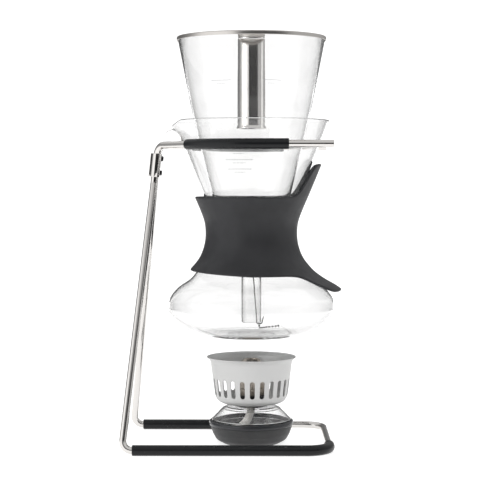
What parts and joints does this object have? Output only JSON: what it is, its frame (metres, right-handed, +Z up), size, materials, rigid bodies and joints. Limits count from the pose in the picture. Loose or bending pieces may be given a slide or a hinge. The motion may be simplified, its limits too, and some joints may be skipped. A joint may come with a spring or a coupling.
{
  "type": "vacuum coffee brewer",
  "caption": "Table-top vacuum coffee brewer: open-fork rod stand, gripped glass decanter, glass funnel with filter, steel lid with tube, and a spirit lamp under a slotted windshield.",
  "frame": {"origin": "centre of the lamp's flat foot on the table, which is under the common vertical axis of both glass bowls", "axes": "+Z up along the glass bowls' axis; +X towards the open end of the fork and the grip band's flaps; the pouring lip and the uprights are on the -X side"},
  "size_m": [0.2436, 0.1864, 0.455],
  "materials": {
    "polished_steel": "mirror-polished stainless",
    "satin_steel": "satin stainless",
    "burner_steel": "satin, heat-tinted brown",
    "black_rubber": "satin",
    "grip_silicone": "matte silicone",
    "clear_glass": "clear, fire-polished",
    "satin_aluminium": "fine satin",
    "dark_base": "satin charcoal with a glossier lip",
    "dark_collar": "satin",
    "gasket_rubber": "matte",
    "filter_cotton": "flannel weave",
    "wick_cotton": "braided cotton",
    "black_screw": "black oxide"
  },
  "bodies": {
    "stand": {"stand_rod_front": "polished_steel", "stand_rod_back": "polished_steel", "base_sleeve_front": "black_rubber", "base_sleeve_back": "black_rubber", "fork_sleeve_front": "black_rubber", "fork_sleeve_back": "black_rubber", "collar_clamp": "polished_steel", "collar_screw_upper": "black_screw", "collar_screw_lower": "black_screw"},
    "decanter": {"lower_bowl": "clear_glass", "grip_band": "grip_silicone"},
    "funnel": {"upper_bowl": "clear_glass", "bowl_gasket": "gasket_rubber", "filter_plate": "satin_steel", "filter_cloth": "filter_cotton", "filter_ring": "satin_steel", "filter_stud": "satin_steel", "filter_spring": "satin_steel"},
    "filter_pull": {"filter_hook": "satin_steel", "bead_chain": "satin_steel"},
    "lid": {"lid_disc": "polished_steel", "lid_boss": "polished_steel", "lid_tube": "polished_steel"},
    "lamp": {"lamp_base": "dark_base", "lamp_glass": "clear_glass", "lamp_collar": "dark_collar", "wick_holder": "burner_steel", "wick": "wick_cotton"},
    "windshield": {"windshield": "satin_aluminium"}
  },
  "joints": [
    {"name": "decanter_slide", "type": "slide", "parent": "stand", "child": "decanter", "axis": [1, 0, 0], "range_m": [0, 0.19]},
    {"name": "funnel_lift", "type": "slide", "parent": "decanter", "child": "funnel", "axis": [0, 0, 1], "range_m": [0, 0.24]},
    {"name": "hook_pull", "type": "slide", "parent": "funnel", "child": "filter_pull", "axis": [0, 0, -1], "range_m": [0, 0.005], "stiffness_N_per_m": 300, "springref_m": -0.004, "deforming": ["filter_spring", "bead_chain"]},
    {"name": "lid_lift", "type": "slide", "parent": "funnel", "child": "lid", "axis": [0, 0, 1], "range_m": [0, 0.11]},
    {"name": "lamp_slide", "type": "slide", "parent": "stand", "child": "lamp", "axis": [-1, 0, 0], "range_m": [0, 0.25]},
    {"name": "windshield_lift", "type": "slide", "parent": "lamp", "child": "windshield", "axis": [0, 0, 1], "range_m": [0, 0.02]}
  ]
}
